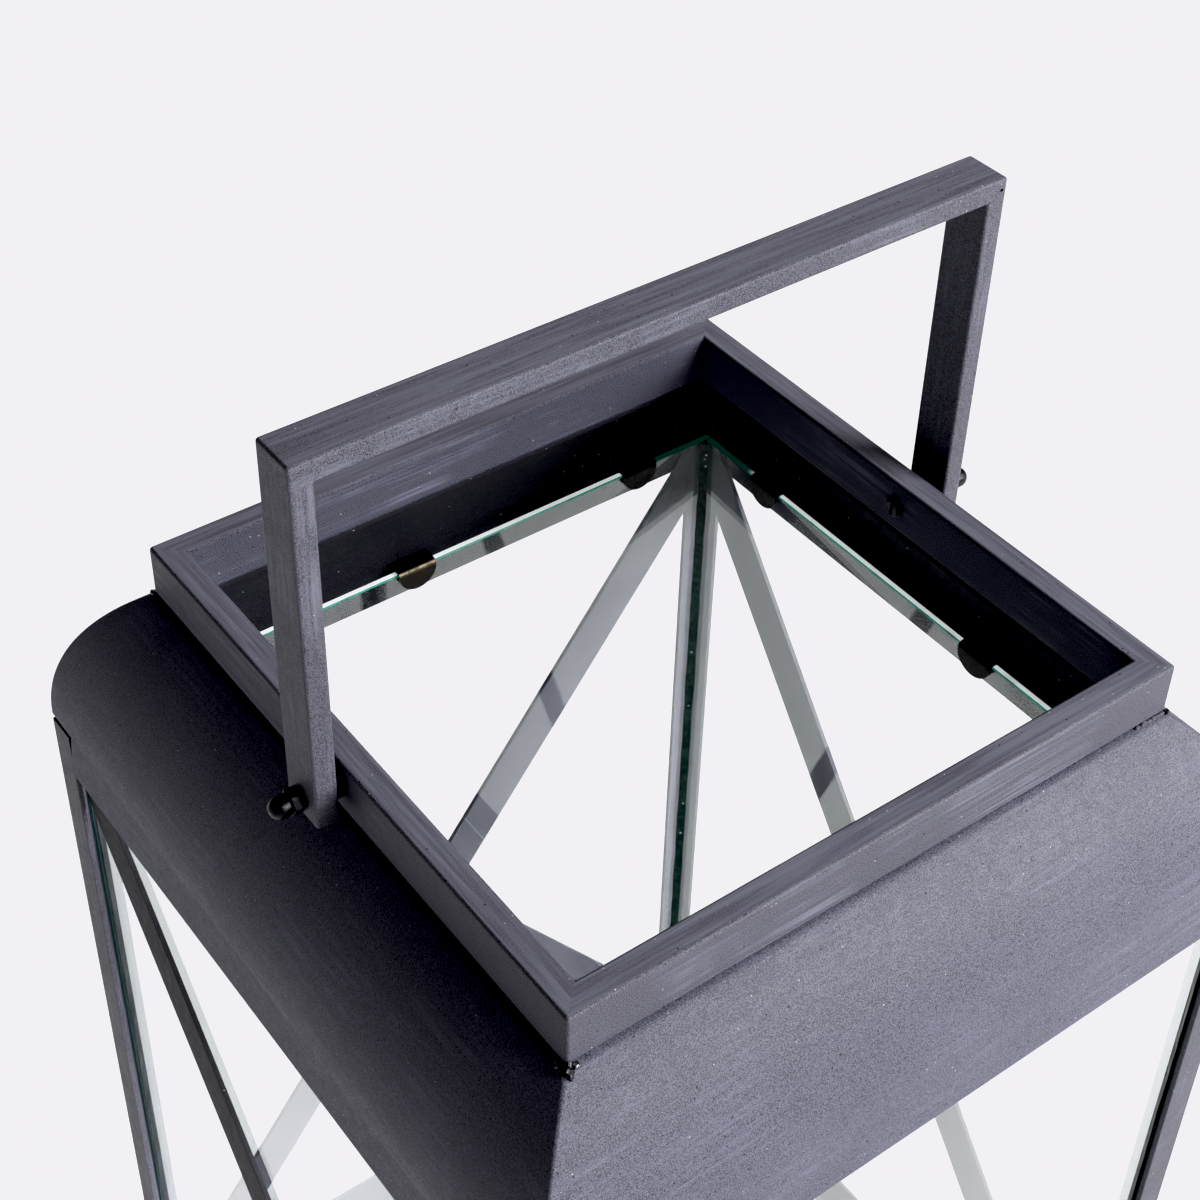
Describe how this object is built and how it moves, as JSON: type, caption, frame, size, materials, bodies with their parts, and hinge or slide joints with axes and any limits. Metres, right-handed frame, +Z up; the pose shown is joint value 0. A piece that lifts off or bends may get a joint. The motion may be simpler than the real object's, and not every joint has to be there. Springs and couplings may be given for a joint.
{
  "type": "candle lantern",
  "caption": "Square black metal and glass candle lantern with crossed side bars, a curved roof with an open neck, and a rectangular bail handle that swings.",
  "frame": {"origin": "centre of the floor plate's underside, on the surface the lantern stands on", "axes": "+Z up, -Y towards the plain front pane, +X to the right seen from the front; the handle swings about X"},
  "size_m": [0.308, 0.308, 0.616],
  "materials": {
    "black_paint": "satin charcoal black, fine grain with lightly brushed rims",
    "dark_steel": "blackened steel",
    "worn_steel": "brown-black steel worn at the bend",
    "clear_glass": "clear float glass with green edges"
  },
  "bodies": {
    "lantern": {"floor_plate": "black_paint", "base_rail_front": "black_paint", "roof_panel_front": "black_paint", "neck_tube_front": "black_paint", "glass_pane_front": "clear_glass", "glass_clip_front_1": "worn_steel", "glass_clip_front_2": "worn_steel", "glass_clip_front_3": "worn_steel", "base_rail_right": "black_paint", "roof_panel_right": "black_paint", "neck_tube_right": "black_paint", "glass_pane_right": "clear_glass", "glass_clip_right_1": "worn_steel", "glass_clip_right_2": "worn_steel", "glass_clip_right_3": "worn_steel", "base_rail_back": "black_paint", "roof_panel_back": "black_paint", "neck_tube_back": "black_paint", "glass_pane_back": "clear_glass", "glass_clip_back_1": "worn_steel", "glass_clip_back_2": "worn_steel", "glass_clip_back_3": "worn_steel", "base_rail_left": "black_paint", "roof_panel_left": "black_paint", "neck_tube_left": "black_paint", "glass_pane_left": "clear_glass", "glass_clip_left_1": "worn_steel", "glass_clip_left_2": "worn_steel", "glass_clip_left_3": "worn_steel", "corner_post_front_left": "black_paint", "corner_post_front_right": "black_paint", "corner_post_back_right": "black_paint", "corner_post_back_left": "black_paint", "brace_right_long": "black_paint", "brace_right_upper": "black_paint", "brace_right_lower": "black_paint", "brace_back_long": "black_paint", "brace_back_upper": "black_paint", "brace_back_lower": "black_paint", "brace_left_long": "black_paint", "brace_left_upper": "black_paint", "brace_left_lower": "black_paint", "pivot_bolt_left": "dark_steel", "pivot_spacer_left": "dark_steel", "pivot_dome_nut_left": "dark_steel", "pivot_bolt_right": "dark_steel", "pivot_spacer_right": "dark_steel", "pivot_dome_nut_right": "dark_steel"},
    "handle": {"handle_top_bar": "black_paint", "handle_leg_left": "black_paint", "handle_leg_right": "black_paint"}
  },
  "joints": [
    {"name": "handle_swing", "type": "hinge", "parent": "lantern", "child": "handle", "pos_m": [0, 0, 0.485], "axis": [1, 0, 0], "range_deg": [-91, 91]}
  ]
}
